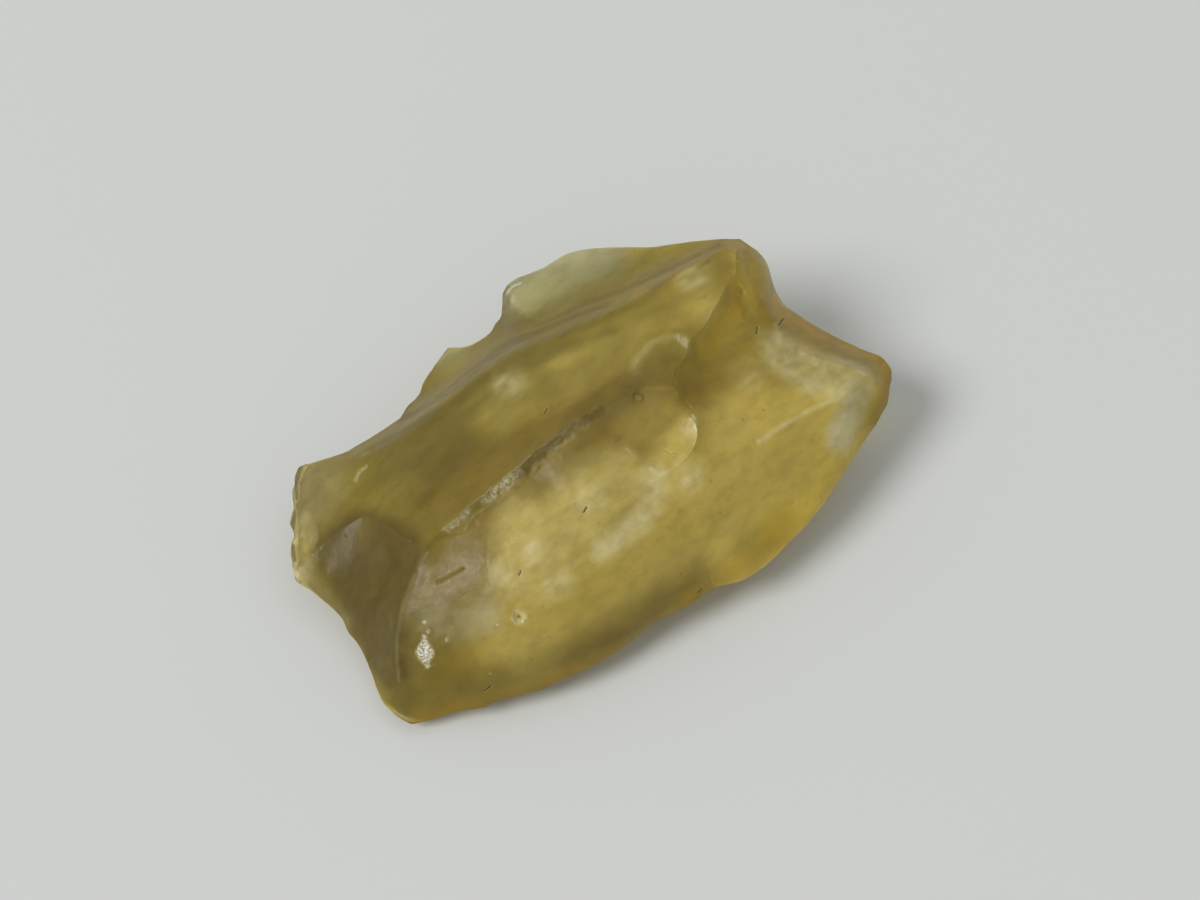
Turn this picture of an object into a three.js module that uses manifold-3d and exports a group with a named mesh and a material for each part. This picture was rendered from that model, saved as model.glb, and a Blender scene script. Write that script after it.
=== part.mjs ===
// A raw chunk of natural desert glass: one solid with a thick crest, a thin back flange, a steep
// rounded front, a broken left end and a flat fracture face on which it rests.
// Millimetres, +Z up, the long side along X, the origin under the middle of the stone.
//
// The stone is written as the lines and spots that a carver would mark on it. Those that a picture
// of it shows are picked there, each with a judged height, and the picks of the rim were guided by
// measured positions of its outline. The hidden ones, and a few that were moved afterwards, are in
// millimetres. All are joined by their Delaunay triangles, one sheet for the top and one for the
// underside, which meet at the rim. Loop subdivision then rounds the sheets and keeps the edges
// between two fractures crisp.
import * as THREE from 'three';
import { ConvexHull } from 'three/addons/math/ConvexHull.js';
import { mergeVertices } from 'three/addons/utils/BufferGeometryUtils.js';
import Module from 'manifold-3d';

const ROUNDS = 2; // rounds of subdivision
const WORN = 1; // an edge worn round by wind-blown sand
const CRISP = 2; // an edge that is still sharp
const RAZOR = Infinity; // the thin rim
const CORNER_TURN = 48; // degrees; a line that turns more than this has a corner
const MOST_FLIPS = 200; // edges turned before a line counts as impossible
const SOLE_CUT = 60; // side of the block that cuts the resting face flat

// The view in which the picture shows the stone: from above, left of its front.
const VIEW_AZIMUTH = -39; // degrees
const VIEW_ELEVATION = 58; // degrees
const VIEW_DISTANCE = 208; // from the eye to the point in the middle of the picture
const MIDDLE_HEIGHT = 7; // of that point above the resting face
const LENS = 75;
const SENSOR = 36;
const PICTURE_WIDTH = 1200; // pixels
const PICTURE_HEIGHT = 900; // pixels
const PLACES_PER_MM = 10; // a pixel is about 0.1 mm, so a picked point is no finer

// The place of a point that the picture shows, from its pixels and its judged height above the
// resting face.
function seen(x, y, height) {
  const azimuth = THREE.MathUtils.degToRad(VIEW_AZIMUTH);
  const elevation = THREE.MathUtils.degToRad(VIEW_ELEVATION);
  const right = new THREE.Vector3(Math.cos(azimuth), Math.sin(azimuth), 0);
  const back = new THREE.Vector3(
    Math.sin(azimuth) * Math.cos(elevation),
    -Math.cos(azimuth) * Math.cos(elevation),
    Math.sin(elevation),
  );
  const up = back.clone().cross(right);
  const focal = (LENS / SENSOR) * PICTURE_WIDTH;
  const eye = back.clone().multiplyScalar(VIEW_DISTANCE);
  eye.z += MIDDLE_HEIGHT;
  const ray = back.clone().negate()
    .addScaledVector(right, (x - PICTURE_WIDTH / 2) / focal)
    .addScaledVector(up, (PICTURE_HEIGHT / 2 - y) / focal);
  eye.addScaledVector(ray, (height - eye.z) / ray.z);
  const toPlace = (value) => Math.round(value * PLACES_PER_MM) / PLACES_PER_MM;
  return [toPlace(eye.x), toPlace(eye.y), height];
}

// The rim, seen from above, from the left shoulder clockwise: the back, its lobe and its flange, the
// crest down to the saddle, the band behind the right facet, the round front, the heel and the
// chipped left end.
const crestTip = seen(740, 238, 15.4);
const backEdge = [
  seen(306, 463, 6), seen(328, 457, 6.3), seen(352, 447, 6.6), seen(383, 430, 7),
  seen(400, 417, 7.2),
];
const lobeEdge = [
  seen(407, 405, 7), seen(416, 397, 7), seen(423, 382, 7), seen(436, 362, 7), seen(448, 347, 7),
  seen(462, 346, 7.6), seen(477, 341, 8.4), seen(491, 331, 9),
];
const flangeEdge = [
  seen(495, 322, 8.8), seen(500, 315, 8.5), seen(501, 294, 8.4), seen(506, 285, 8.5),
  seen(519, 277, 8.8), seen(543, 267, 9.2), seen(566, 254, 9.6), seen(590, 248, 10.2),
];
const crestEdge = [
  seen(627, 246, 11), seen(652, 246, 12), seen(690, 241, 13.4), seen(722, 237.5, 14.8), crestTip,
  seen(757, 250, 14), seen(767, 263, 12.8), seen(771, 275, 12), seen(777, 292, 11),
  seen(785, 304, 10.4),
];
const bandEdge = [
  seen(816, 325, 9.4), seen(850, 343, 8.6), seen(880, 356, 8), seen(890, 367, 7.8),
  seen(893, 382, 7.6),
];
const frontEdge = [
  seen(891, 406, 7.2), seen(880, 424, 6.9), seen(864, 449, 6.5), seen(843, 478, 6),
  seen(826, 506, 5.5), seen(806, 528, 5.2), seen(788, 546, 4.9), seen(764, 571, 4.5),
  seen(745, 581, 4.2), seen(716, 592, 4), seen(694, 604, 3.8), seen(662, 624, 3.5),
  seen(620, 653, 3), seen(585, 675, 2.7), seen(540, 692, 2.4), seen(497, 706, 2),
];
const heelEdge = [
  seen(455, 712, 1.7), seen(430, 721, 1.4), seen(411, 724, 1.3), seen(395, 715, 1.4),
  seen(381, 701, 1.5),
];
const leftEdge = [
  seen(370, 671, 1.8), seen(357, 645, 2.2), seen(347, 632, 2.4), seen(341, 619, 2.6),
  seen(325, 604, 3), seen(309, 590, 3.4), seen(296, 581, 3.8), seen(292, 567, 4.2),
  seen(289, 556, 4.4), seen(291, 542, 4.6), seen(293.5, 535, 4.9), seen(290, 523, 4.9),
  seen(292, 508, 5.2), seen(292.5, 491, 5.5), seen(294.5, 485, 5.8), seen(293.5, 478, 5.7),
  seen(298, 468, 5.9),
];
const rim = [
  backEdge, lobeEdge, flangeEdge, crestEdge, bandEdge, frontEdge, heelEdge, leftEdge,
].flat();

// The back flank: its foot, where it runs out into the thin flange, the brow above it, the lobe to
// its left, and the rounded lump at the corner of the flange.
const foot = [
  seen(420, 407, 8.2), seen(455, 374, 8.5), seen(497, 337, 9.8), seen(535, 317, 9.6),
  seen(575, 301, 10.2), seen(622, 284, 11.5), seen(662, 264, 13), seen(702, 248, 14.6),
];
const brow = [
  seen(345, 463, 7.8), seen(372, 450, 9), seen(408, 430, 10.6), seen(450, 397, 12.2),
  seen(502, 358, 13.6), seen(560, 333, 14.6), seen(620, 306, 15.4), seen(672, 278, 16.2),
  seen(716, 252, 16.8),
];
const lobe = [-4.0, 15.6, 7.5];
const lump = [seen(511, 290, 9.9), seen(527, 283, 9.9), seen(520, 298, 9.4), seen(545, 290, 9.3)];

// The broad upper face between the brow and the ledge.
const upperFace = [
  [-20.7, 13.2, 6.4], seen(325, 490, 7), seen(365, 487, 9), seen(415, 475, 11),
  seen(400, 515, 10), seen(470, 440, 12.6), seen(450, 495, 12), seen(520, 400, 13.8),
  seen(510, 450, 13.6), seen(575, 370, 14.9), seen(575, 400, 15), seen(630, 340, 15.8),
  seen(620, 372, 15.6), seen(675, 310, 16.4),
];

// The ledge that crosses the stone, left to right, and the foot of its step, which is tallest in
// the left half and dies out to the right.
const ledge = [
  seen(424, 548, 11.2), seen(444, 528, 12.1), seen(458, 516, 12.7), seen(471, 504, 13.2),
  seen(485, 494, 13.6), seen(498, 479, 14), seen(517, 468, 14.4), seen(534, 452, 14.8),
  seen(554, 438, 15.1), seen(572, 425, 15.4), seen(590, 413, 15.6), seen(608, 403, 15.8),
  seen(641, 388, 16),
];
const step = [
  seen(446, 538, 11.3), seen(464, 531, 11.6), seen(473, 520, 12), seen(486, 511, 12.3),
  seen(500, 503, 12.5), seen(514, 488, 13), seen(529, 478, 13.3), seen(541, 466, 13.8),
  seen(557, 451, 14.4), seen(576, 432, 15),
];

// The broken left end: the gable over it, the rib at its right side, its panel, and a shell-shaped
// chip beside it.
const gable = [
  seen(320, 547, 6), seen(330, 538, 6.8), seen(345, 527, 7.8), seen(362, 516, 8.7),
  seen(386, 526, 9.6), seen(408, 540, 10.5),
];
const rib = [seen(414, 575, 9.7), seen(403, 604, 8.4), seen(396, 640, 6.4), seen(398, 680, 4)];
const panel = [
  seen(350, 565, 6.4), seen(385, 565, 7.8), seen(365, 605, 5.6), seen(378, 640, 4.4),
  seen(325, 578, 5.2),
];
const chip = [seen(298, 510, 5.8), seen(306, 510, 6.1), seen(315, 518, 6.4), seen(319, 530, 6.4)];
const chipFloor = [seen(303, 522, 5.2), seen(308, 538, 5.2)];

// The trough under the ledge, and the folded facets at the lower left.
const sill = [seen(437, 583, 9.7), seen(470, 563, 10.9), seen(492, 545, 11.8)];
const fold = [
  seen(480, 592, 10.2), seen(518, 613, 9.6), seen(490, 627, 8.4), seen(455, 645, 7),
  seen(430, 668, 5.2), seen(420, 700, 3),
];
const heelFacets = [
  seen(440, 618, 8.4), seen(420, 640, 6.8), seen(480, 665, 5.6), seen(470, 692, 3.8),
  seen(530, 660, 5.6),
];

// The bulging front face.
const bulge = [
  seen(530, 540, 12.4), seen(575, 500, 13.5), [-3.2, -4.3, 14.4], seen(560, 570, 11),
  seen(605, 540, 11.6), seen(640, 505, 12.2), seen(570, 620, 8.4), seen(620, 600, 7.8),
  seen(650, 560, 9.6), seen(690, 520, 10.6), seen(680, 580, 6.6), seen(735, 550, 7.4),
  seen(735, 500, 9.8), seen(785, 505, 7.8), seen(780, 460, 10), seen(825, 455, 8.2),
  [15.5, -12.0, 9], seen(862, 410, 8.6),
];

// The small pocket scar in the middle, the thumbnail scar above it, and the hinge line that ends
// the upper face.
const pocket = [
  seen(624, 446, 14), seen(661, 476, 12.9), seen(684, 461, 13.2), seen(696, 444, 13.6),
  seen(697, 427, 14.1), seen(690, 413, 14.8),
];
const pocketFloor = [seen(662, 442, 13), [3.4, -5.4, 13.5]];
const hingeTop = seen(688, 342, 16.3);
const thumbScar = [
  seen(634, 369, 16), seen(640, 355, 16.3), seen(653, 343, 16.5), seen(676, 335, 16.5),
];
const thumbFloor = [6.0, -0.8, 15.9];
const hinge = [
  hingeTop, seen(687, 354, 16), seen(678, 368, 15.8), seen(676, 382, 15.6), seen(684, 398, 15.3),
];
const saddle = [
  seen(745, 312, 14.1), seen(722, 345, 13.6), seen(704, 382, 13.6), seen(715, 425, 12.9),
  [3.1, -9.6, 12],
];

// The end of the crest: the scarp that drops from it to the saddle, and its end facet and pit.
const scarp = [
  seen(736, 250, 16.9), seen(736, 274, 16.3), seen(729, 282, 16.3), seen(723, 293, 16.2),
  seen(713, 310, 16), seen(705, 325, 15.9),
];
const endFacet = [seen(764, 266, 15), seen(747, 281, 15.4), seen(764, 288, 13.6)];
const endPit = seen(741, 292, 14.9);

// The right facet: the steep band behind it, the keel in front of it, and its plate.
const brim = [
  seen(776, 323, 12.9), seen(784, 340, 12.9), seen(801, 350, 12.4), seen(823, 359, 11.9),
  seen(854, 368, 11), seen(870, 376, 10.4),
];
const keel = [
  seen(856, 389, 10.8), seen(839, 399, 11.1), seen(820, 404, 11.4), seen(789, 423, 11.8),
  seen(759, 442, 12),
];
const plate = [
  seen(757, 350, 13.8), seen(790, 375, 12.6), seen(745, 395, 13.3), seen(775, 405, 12.4),
  seen(825, 380, 11.5),
];
const prow = [21.8, -10.6, 8.9];

// The underside: the fracture face that the stone rests on, which is cut flat at z = 0, the
// scars that rise from it to the rim, and the round wall under the front.
const sole = [
  [-19, -7, -0.5], [-12, -9.5, -0.6], [-4, -10.5, -0.5], [4, -10.5, -0.4], [11, -8, -0.4],
  [14, -2, -0.5], [10, 5, -0.6], [1, 8.5, -0.6], [-8, 9, -0.6], [-16, 7, -0.5], [-20, 1, -0.5],
];
const soleFloor = [
  [-13, -3, -1], [-13, 3, -1], [-6, -4, -1], [-5, 4, -1], [1, -4, -1], [2, 3, -1], [7, -2, -0.9],
];
const belly = [
  [18.4, -6.2, 2.9], [19, -1.4, 5], [15.5, 4.6, 6.2], [11.5, 9.5, 6.8], [3.6, 12.4, 4.2],
  [-3.6, 12.6, 3.9], [-11, 11.2, 3.4], [-18, 11.2, 2], [-21.5, 5.5, 1.4],
];
const wall = [
  [21.6, -9.2, 4.2], [19.4, -11.4, 4], [15.6, -12.9, 3.2], [11.3, -14.3, 2.5], [6.9, -14.9, 2],
  [2.4, -14.8, 1.6], [-2.1, -13.8, 1.4], [-9.2, -13, 1], [-15.8, -11.6, 0.8],
];

// The edges between fractures, and how long each of them stays sharp. The rim stays sharp all
// round, but for the front.
const aretes = [
  { line: [...rim, rim[0]], hold: RAZOR },
  { line: [bandEdge[4], ...frontEdge], hold: WORN },
  { line: [...gable, ledge[0]], hold: CRISP },
  { line: [ledge[0], ...rib], hold: WORN },
  { line: ledge, hold: CRISP },
  { line: [ledge[0], ...step], hold: WORN },
  { line: [rib[1], ...sill], hold: WORN },
  { line: fold.slice(1), hold: WORN },
  { line: [...chip, gable[0]], hold: CRISP },
  { line: pocket, hold: CRISP },
  { line: [...thumbScar, hingeTop], hold: WORN },
  { line: hinge, hold: CRISP },
  { line: brow, hold: WORN },
  { line: [crestTip, ...scarp, hingeTop], hold: CRISP },
  { line: [scarp[1], endFacet[1], endFacet[2]], hold: WORN },
  { line: [...brim, prow], hold: CRISP },
  { line: [brim[5], ...keel], hold: WORN },
  { line: [bandEdge[2], wall[0], belly[0], sole[4]], hold: WORN },
  { line: [crestEdge[9], belly[1], sole[5]], hold: CRISP },
  { line: [crestEdge[3], belly[3], sole[6]], hold: WORN },
  { line: [flangeEdge[3], belly[4], sole[7]], hold: CRISP },
  { line: [backEdge[4], belly[6], sole[8]], hold: WORN },
  { line: [backEdge[0], belly[7], sole[9]], hold: CRISP },
];

// The Delaunay triangles of some points, seen from above. They are the lower hull of the same
// points lifted on to a paraboloid.
function delaunay(points) {
  const lifted = points.map((p, i) => {
    const v = new THREE.Vector3(p[0], p[1], p[0] * p[0] + p[1] * p[1]);
    v.index = i;
    return v;
  });
  const triangles = [];
  for (const face of new ConvexHull().setFromPoints(lifted).faces) {
    if (face.normal.z >= 0) continue;
    const corners = [];
    let edge = face.edge;
    do {
      corners.push(edge.head().point.index);
      edge = edge.next;
    } while (edge !== face.edge);
    for (let i = 2; i < corners.length; i++) {
      triangles.push([corners[0], corners[i], corners[i - 1]]);
    }
  }
  return triangles;
}

// Whether a triangle lies inside the rim, seen from above: a ray from its middle crosses the rim
// an odd number of times.
function insideRim(a, b, c) {
  const x = (a[0] + b[0] + c[0]) / 3;
  const y = (a[1] + b[1] + c[1]) / 3;
  let hit = false;
  rim.forEach(([x0, y0], i) => {
    const [x1, y1] = rim[(i + 1) % rim.length];
    if (y0 > y !== y1 > y && x < ((x1 - x0) * (y - y0)) / (y1 - y0) + x0) hit = !hit;
  });
  return hit;
}

const edgeKey = (a, b) => (a < b ? `${a}_${b}` : `${b}_${a}`);

// Twice the area of the triangle a, b, c seen from above: above zero when it turns left.
const turn = (a, b, c) => (b[0] - a[0]) * (c[1] - a[1]) - (b[1] - a[1]) * (c[0] - a[0]);

const crosses = (a, b, c, d) =>
  turn(a, b, c) * turn(a, b, d) < 0 && turn(c, d, a) * turn(c, d, b) < 0;

// Turns edges of the triangulation until one runs straight from point a to point b.
function forceEdge(points, triangles, a, b) {
  const wanted = edgeKey(a, b);
  for (let tries = 0; tries < MOST_FLIPS; tries++) {
    const facing = new Map();
    triangles.forEach((t, i) => {
      [[t[0], t[1], t[2]], [t[1], t[2], t[0]], [t[2], t[0], t[1]]].forEach(([p, q, wing]) => {
        const key = edgeKey(p, q);
        facing.set(key, [...(facing.get(key) ?? []), { i, p, q, wing }]);
      });
    });
    if (facing.has(wanted)) return;
    const across = [...facing.values()].filter(([one, other]) => other
      && crosses(points[one.p], points[one.q], points[a], points[b])
      && crosses(points[one.p], points[one.q], points[one.wing], points[other.wing]));
    if (!across.length) break;
    const [one, other] = across[tries % across.length];
    triangles[one.i] = [one.wing, one.p, other.wing];
    triangles[other.i] = [other.wing, one.q, one.wing];
  }
  throw new Error(`no edge can join ${points[a]} and ${points[b]}`);
}

// The control cage: vertices, triangles that face out, and how long each edge stays sharp.
function buildCage() {
  const topSpots = [
    foot, brow, [lobe], lump, upperFace, ledge, step, gable, rib, panel, chip, chipFloor, sill, fold,
    heelFacets, bulge, pocket, pocketFloor, thumbScar, [thumbFloor], hinge, saddle, scarp,
    endFacet, [endPit], brim, keel, plate, [prow],
  ].flat();
  const underSpots = [sole, soleFloor, belly, wall].flat();
  const all = [...rim, ...topSpots, ...underSpots];
  const indexOf = new Map(all.map((p, i) => [p, i]));
  const keep = new Map();
  const sheet = (spots, up) => {
    const points = [...rim, ...spots];
    const place = new Map(points.map((p, i) => [p, i]));
    const triangles = delaunay(points);
    for (const { line, hold } of aretes) {
      for (let i = 1; i < line.length; i++) {
        const elsewhere = !place.has(line[i - 1]) || !place.has(line[i]);
        if (elsewhere) continue;
        forceEdge(points, triangles, place.get(line[i - 1]), place.get(line[i]));
        keep.set(edgeKey(indexOf.get(line[i - 1]), indexOf.get(line[i])), hold);
      }
    }
    return triangles.filter((t) => insideRim(...t.map((k) => points[k]))).map((t) => {
      const [a, b, c] = t.map((k) => indexOf.get(points[k]));
      return up ? [a, b, c] : [a, c, b];
    });
  };
  const triangles = [...sheet(topSpots, true), ...sheet(underSpots, false)];
  return { vertices: all.map((p) => new THREE.Vector3(...p)), triangles, keep };
}

// One round of Loop subdivision. A kept edge holds its ends and is split on a smooth curve through
// them, which stops at a corner; all else is averaged.
function subdivide({ vertices, triangles, keep }) {
  const across = new Map();
  const around = vertices.map(() => new Set());
  const kept = vertices.map(() => []);
  for (const [a, b, c] of triangles) {
    for (const [p, q, r] of [[a, b, c], [b, c, a], [c, a, b]]) {
      const key = edgeKey(p, q);
      if (!across.has(key)) across.set(key, { ends: [p, q], wings: [] });
      across.get(key).wings.push(r);
      around[p].add(q);
      around[q].add(p);
    }
  }
  for (const [key, { ends, wings }] of across) {
    if (wings.length !== 2) throw new Error(`an edge has ${wings.length} triangles at ${ends}`);
    if (!(keep.get(key) > 0)) continue;
    kept[ends[0]].push(ends[1]);
    kept[ends[1]].push(ends[0]);
  }
  const beyond = (from, at) => {
    const next = kept[at].filter((k) => k !== from);
    if (next.length !== 1) return null;
    const way = vertices[at].clone().sub(vertices[from]).normalize();
    const on = vertices[next[0]].clone().sub(vertices[at]).normalize();
    return way.angleTo(on) < THREE.MathUtils.degToRad(CORNER_TURN) ? vertices[next[0]] : null;
  };

  const moved = vertices.map((v, i) => {
    if (kept[i].length > 1) return v.clone();
    const n = around[i].size;
    const share = n === 3 ? 3 / 16 : 3 / (8 * n);
    const sum = new THREE.Vector3();
    for (const k of around[i]) sum.add(vertices[k]);
    return v.clone().multiplyScalar(1 - n * share).addScaledVector(sum, share);
  });

  const middleOf = new Map();
  const nextKeep = new Map();
  for (const [key, { ends, wings }] of across) {
    const [a, b] = ends;
    const middle = vertices[a].clone().add(vertices[b]);
    const hold = keep.get(key) ?? 0;
    const id = moved.length;
    if (hold > 0) {
      middle.multiplyScalar(0.5);
      const before = beyond(b, a);
      const after = beyond(a, b);
      const bow = 1 / 16;
      if (before) middle.addScaledVector(vertices[a].clone().sub(before), bow)
        .addScaledVector(vertices[b].clone().sub(vertices[a]), -bow);
      if (after) middle.addScaledVector(vertices[b].clone().sub(after), bow)
        .addScaledVector(vertices[a].clone().sub(vertices[b]), -bow);
      nextKeep.set(edgeKey(a, id), hold - 1);
      nextKeep.set(edgeKey(id, b), hold - 1);
    } else {
      middle.multiplyScalar(3 / 8);
      for (const w of wings) middle.addScaledVector(vertices[w], 1 / 8);
    }
    moved.push(middle);
    middleOf.set(key, id);
  }
  const split = triangles.flatMap(([a, b, c]) => {
    const ab = middleOf.get(edgeKey(a, b));
    const bc = middleOf.get(edgeKey(b, c));
    const ca = middleOf.get(edgeKey(c, a));
    return [[a, ab, ca], [ab, b, bc], [ca, bc, c], [ab, bc, ca]];
  });
  return { vertices: moved, triangles: split, keep: nextKeep };
}

// A closed geometry as a solid, and a solid as a geometry.
function solidOf(wasm, geometry) {
  const bare = geometry.clone();
  bare.deleteAttribute('normal');
  bare.deleteAttribute('uv');
  const merged = mergeVertices(bare, 1e-4);
  return new wasm.Manifold(new wasm.Mesh({
    numProp: 3,
    vertProperties: new Float32Array(merged.attributes.position.array),
    triVerts: new Uint32Array(merged.index.array),
  }));
}

function geometryOf(solid) {
  const mesh = solid.getMesh();
  const geometry = new THREE.BufferGeometry();
  geometry.setAttribute('position', new THREE.BufferAttribute(mesh.vertProperties, 3));
  geometry.setIndex(new THREE.BufferAttribute(mesh.triVerts, 1));
  geometry.computeVertexNormals();
  return geometry;
}

function stoneGeometry(wasm) {
  let surface = buildCage();
  for (let round = 0; round < ROUNDS; round++) surface = subdivide(surface);
  const rough = new THREE.BufferGeometry().setFromPoints(surface.vertices);
  rough.setIndex(surface.triangles.flat());
  const block = new THREE.BoxGeometry(SOLE_CUT, SOLE_CUT, SOLE_CUT);
  block.translate(0, 0, -SOLE_CUT / 2);
  const stone = geometryOf(solidOf(wasm, rough).subtract(solidOf(wasm, block)));
  stone.computeBoundingBox();
  const middle = stone.boundingBox.getCenter(new THREE.Vector3());
  return stone.translate(-middle.x, -middle.y, 0);
}

const wasm = await Module();
wasm.setup();

const glass = new THREE.MeshStandardMaterial({ color: 0x9c8740, roughness: 0.35, metalness: 0 });
const stone = new THREE.Mesh(stoneGeometry(wasm), glass);
stone.name = 'desert_glass';

const part = new THREE.Group();
part.add(stone);

export default part;
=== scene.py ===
import math

import bmesh
import bpy
import numpy as np
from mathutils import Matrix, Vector, noise
from mathutils.bvhtree import BVHTree


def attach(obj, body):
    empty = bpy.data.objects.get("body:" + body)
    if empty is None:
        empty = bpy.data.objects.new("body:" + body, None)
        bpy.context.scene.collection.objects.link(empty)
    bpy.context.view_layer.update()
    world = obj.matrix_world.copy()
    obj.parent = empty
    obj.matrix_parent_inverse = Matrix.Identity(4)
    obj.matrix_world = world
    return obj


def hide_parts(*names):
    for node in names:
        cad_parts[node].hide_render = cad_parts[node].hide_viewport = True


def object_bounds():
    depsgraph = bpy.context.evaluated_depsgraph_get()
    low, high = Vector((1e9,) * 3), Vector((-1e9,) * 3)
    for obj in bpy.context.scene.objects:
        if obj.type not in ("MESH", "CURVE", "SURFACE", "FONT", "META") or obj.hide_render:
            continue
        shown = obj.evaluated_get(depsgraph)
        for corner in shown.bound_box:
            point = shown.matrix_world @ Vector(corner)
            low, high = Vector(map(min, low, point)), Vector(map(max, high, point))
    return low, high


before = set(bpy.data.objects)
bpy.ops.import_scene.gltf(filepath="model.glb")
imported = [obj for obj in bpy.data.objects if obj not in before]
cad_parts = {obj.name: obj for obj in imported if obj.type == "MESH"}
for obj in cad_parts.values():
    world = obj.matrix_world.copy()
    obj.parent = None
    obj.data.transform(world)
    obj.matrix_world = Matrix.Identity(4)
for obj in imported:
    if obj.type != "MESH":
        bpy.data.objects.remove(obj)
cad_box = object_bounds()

MM = 0.001

# The view of the photograph: the stone lies on a pale sheet and is seen from above, left of the front.
VIEW_AZIMUTH = -39
VIEW_ELEVATION = 58
VIEW_TARGET = Vector((1.29, -0.70, 7.0)) * MM
VIEW_DISTANCE = 208 * MM
NEAREST_SEEN = 0.01
LENS = 75
SENSOR = 36
PICTURE_WIDTH = 1200
PICTURE_HEIGHT = 900

# The light: a soft window at the viewer's left, under a dome that is brighter above.
WINDOW_TURN = -62
WINDOW_COLOUR = (1.0, 0.985, 0.955)
DOME_COLOUR = (0.95, 0.98, 1.0, 1)
DOME_DIMMEST = 0.20
DOME_BRIGHTEST = 0.64
MOST_BOUNCES = 8

# The pale sheet below the stone.
SHEET_REACH = 1.5
SHEET_DROP = 0.04 * MM
SHEET_COLOUR = (0.655, 0.665, 0.65, 1)
SHEET_ROUGHNESS = 0.85
FIBRE_SCALE = 900
FIBRE_STRENGTH = 0.06
FIBRE_DEPTH = 0.05 * MM

# The fine mesh of the stone, in millimetres and degrees.
WELD = 0.002
SOLE_GRID = 1.0
SHARP_TURN = 25
HALVINGS = 2
SMOOTH_ROUNDS = 4
SMOOTH_FACTOR = 0.5
FINE_REACH = 0.32
SHORTEST_EDGE = 0.12
SLIVER = 0.008
WALL_START = 0.02
WALL_SHARE = 0.25
SOLE_LEVEL = 0.01
SOLE_FADE = 0.8

# Where a face counts as turned like another: the cosine of the angle between them, and the fade above it.
ALIKE = 0.62
ALIKE_FADE = 0.12

# What brings soft noise up to about 1, and the least square of a length that is divided by.
GRAIN_GAIN = 1.6
LEAST_SQUARE = 1e-9

# Picture points of the marks, in pixels of the photograph. A mark is one point, or a line from end to end.
LEDGE_WALL = [
    (450, 527), (468, 514), (486, 500), (502, 488), (520, 474), (540, 454), (560, 439), (580, 424),
]
# Painted reflection of the window on the steep ledge wall.
LEDGE_REFLECTION = [(487, 500), (497, 491), (508, 482), (518, 474)]
LEDGE_REFLECTION_END = [(447, 529), (458, 522), (468, 513)]
LEDGE_SHADE = [(522, 474), (538, 456), (552, 444), (572, 427), (600, 410)]
LEDGE_LIP = [(446, 536), (465, 531), (472, 520), (486, 510), (500, 503), (512, 487), (528, 479), (541, 464)]
GABLE_EDGE = [(320, 547), (345, 527), (362, 517), (386, 526), (408, 540), (424, 548)]
GABLE_SHADE = [(345, 533), (362, 524), (386, 533), (404, 545)]
LEFT_FACET = [
    [(332, 556), (362, 532), (404, 554)], [(345, 572), (370, 558), (402, 580)],
    [(352, 595), (390, 600)], [(366, 622), (388, 626)], [(378, 650), (390, 668)],
]
LEFT_FACE = (372, 595)
RIB = [(414, 575), (403, 604), (396, 640), (398, 680)]
PEACH = [(308, 478), (318, 490)]
CRESCENT = [(355, 480), (358, 472), (365, 466)]
SCALLOP = [(306, 522), (310, 540)]
RIM_BEVELS = [[(300, 468), (295, 484), (296, 498)], [(294, 512), (292, 528)], [(292, 546), (294, 560)]]
# Small painted glints.
GLINT_SPECKS = [
    (320, 548), (312, 555), (299, 568), (410, 541), (427, 553), (419, 568), (497, 625), (490, 674),
]
CRACK = [(438, 583), (450, 576), (464, 568)]
SILL_SHADE = [(438, 594), (452, 578), (464, 556)]
HAIRLINE = [(485, 505), (488, 530), (487, 560), (490, 588)]
GREEN_FACET = [(434, 622), (456, 628), (482, 616)]
SQUARE_PIT = (519, 618)
# The sparkle is a painted highlight: a lamp's reflection on a facet, with small glints above it.
SPARKLE = [(424, 638), (423, 652), (427, 666)]
SPARKLE_DIAMOND = [(424, 645), (420, 653), (425, 660), (429, 653), (424, 645)]
SPARKLE_TOPS = [(424, 622), (428, 632), (447, 640)]
RIGHT_RIM = [(690, 596), (740, 566), (785, 528)]
HEEL = [(392, 672), (402, 692), (412, 708)]
POCKET_RIM = [
    (626, 448), (644, 464), (661, 475), (675, 467), (688, 455), (695, 440), (696, 427), (690, 416),
]
POCKET_GLOW = [(694, 416), (696, 428)]
POCKET_TICK = [(665, 450), (671, 454), (677, 452)]
MILK_ARC = [(652, 474), (658, 488), (650, 507), (638, 522), (618, 537), (600, 549)]
THUMB_SCAR = [(634, 369), (638, 358), (652, 343), (670, 336), (684, 338), (689, 348)]
THUMB_GLINT = [(679, 337), (688, 344)]
HINGE = [(678, 370), (675, 382), (682, 395), (690, 406)]
WARM_LINE = [(643, 389), (655, 388), (666, 389)]
RING_PITS = [(640, 398), (741, 292)]
CREST_FACET = [(748, 258), (752, 270)]
CREST_MOTTLE = [(620, 300), (660, 284), (700, 268)]
CREST_ROUGH = [(733, 282), (742, 290), (750, 298)]
LOBE_CHIP = (749, 313)
SCARP = [(730, 280), (723, 293), (713, 310), (706, 323), (698, 338), (690, 353)]
SCARP_FOOT = [(738, 306), (726, 320), (716, 334), (706, 348)]
RIGHT_MILK = [(785, 352), (812, 368), (840, 376), (858, 380)]
RIGHT_LINE = [(776, 325), (784, 340), (800, 350), (823, 359), (855, 368), (870, 376)]
BAND = [(780, 308), (800, 322), (826, 336), (852, 347), (876, 357)]
BAND_RIM = [(786, 303), (812, 320), (840, 334), (866, 347), (882, 356)]
KEEL = [(870, 376), (856, 389), (839, 399), (820, 405), (804, 414), (789, 423), (774, 432), (759, 442)]
GREEN_PALE = [(858, 402), (850, 420), (842, 434)]
PROW = [(884, 370), (880, 392)]
FLANGE = [(515, 300), (535, 285), (560, 270), (590, 262)]
LOBE_NOTCH = [(447, 351), (456, 350)]
LEFT_RIM = [(296, 500), (294, 530), (295, 566), (312, 588), (344, 624)]
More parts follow.
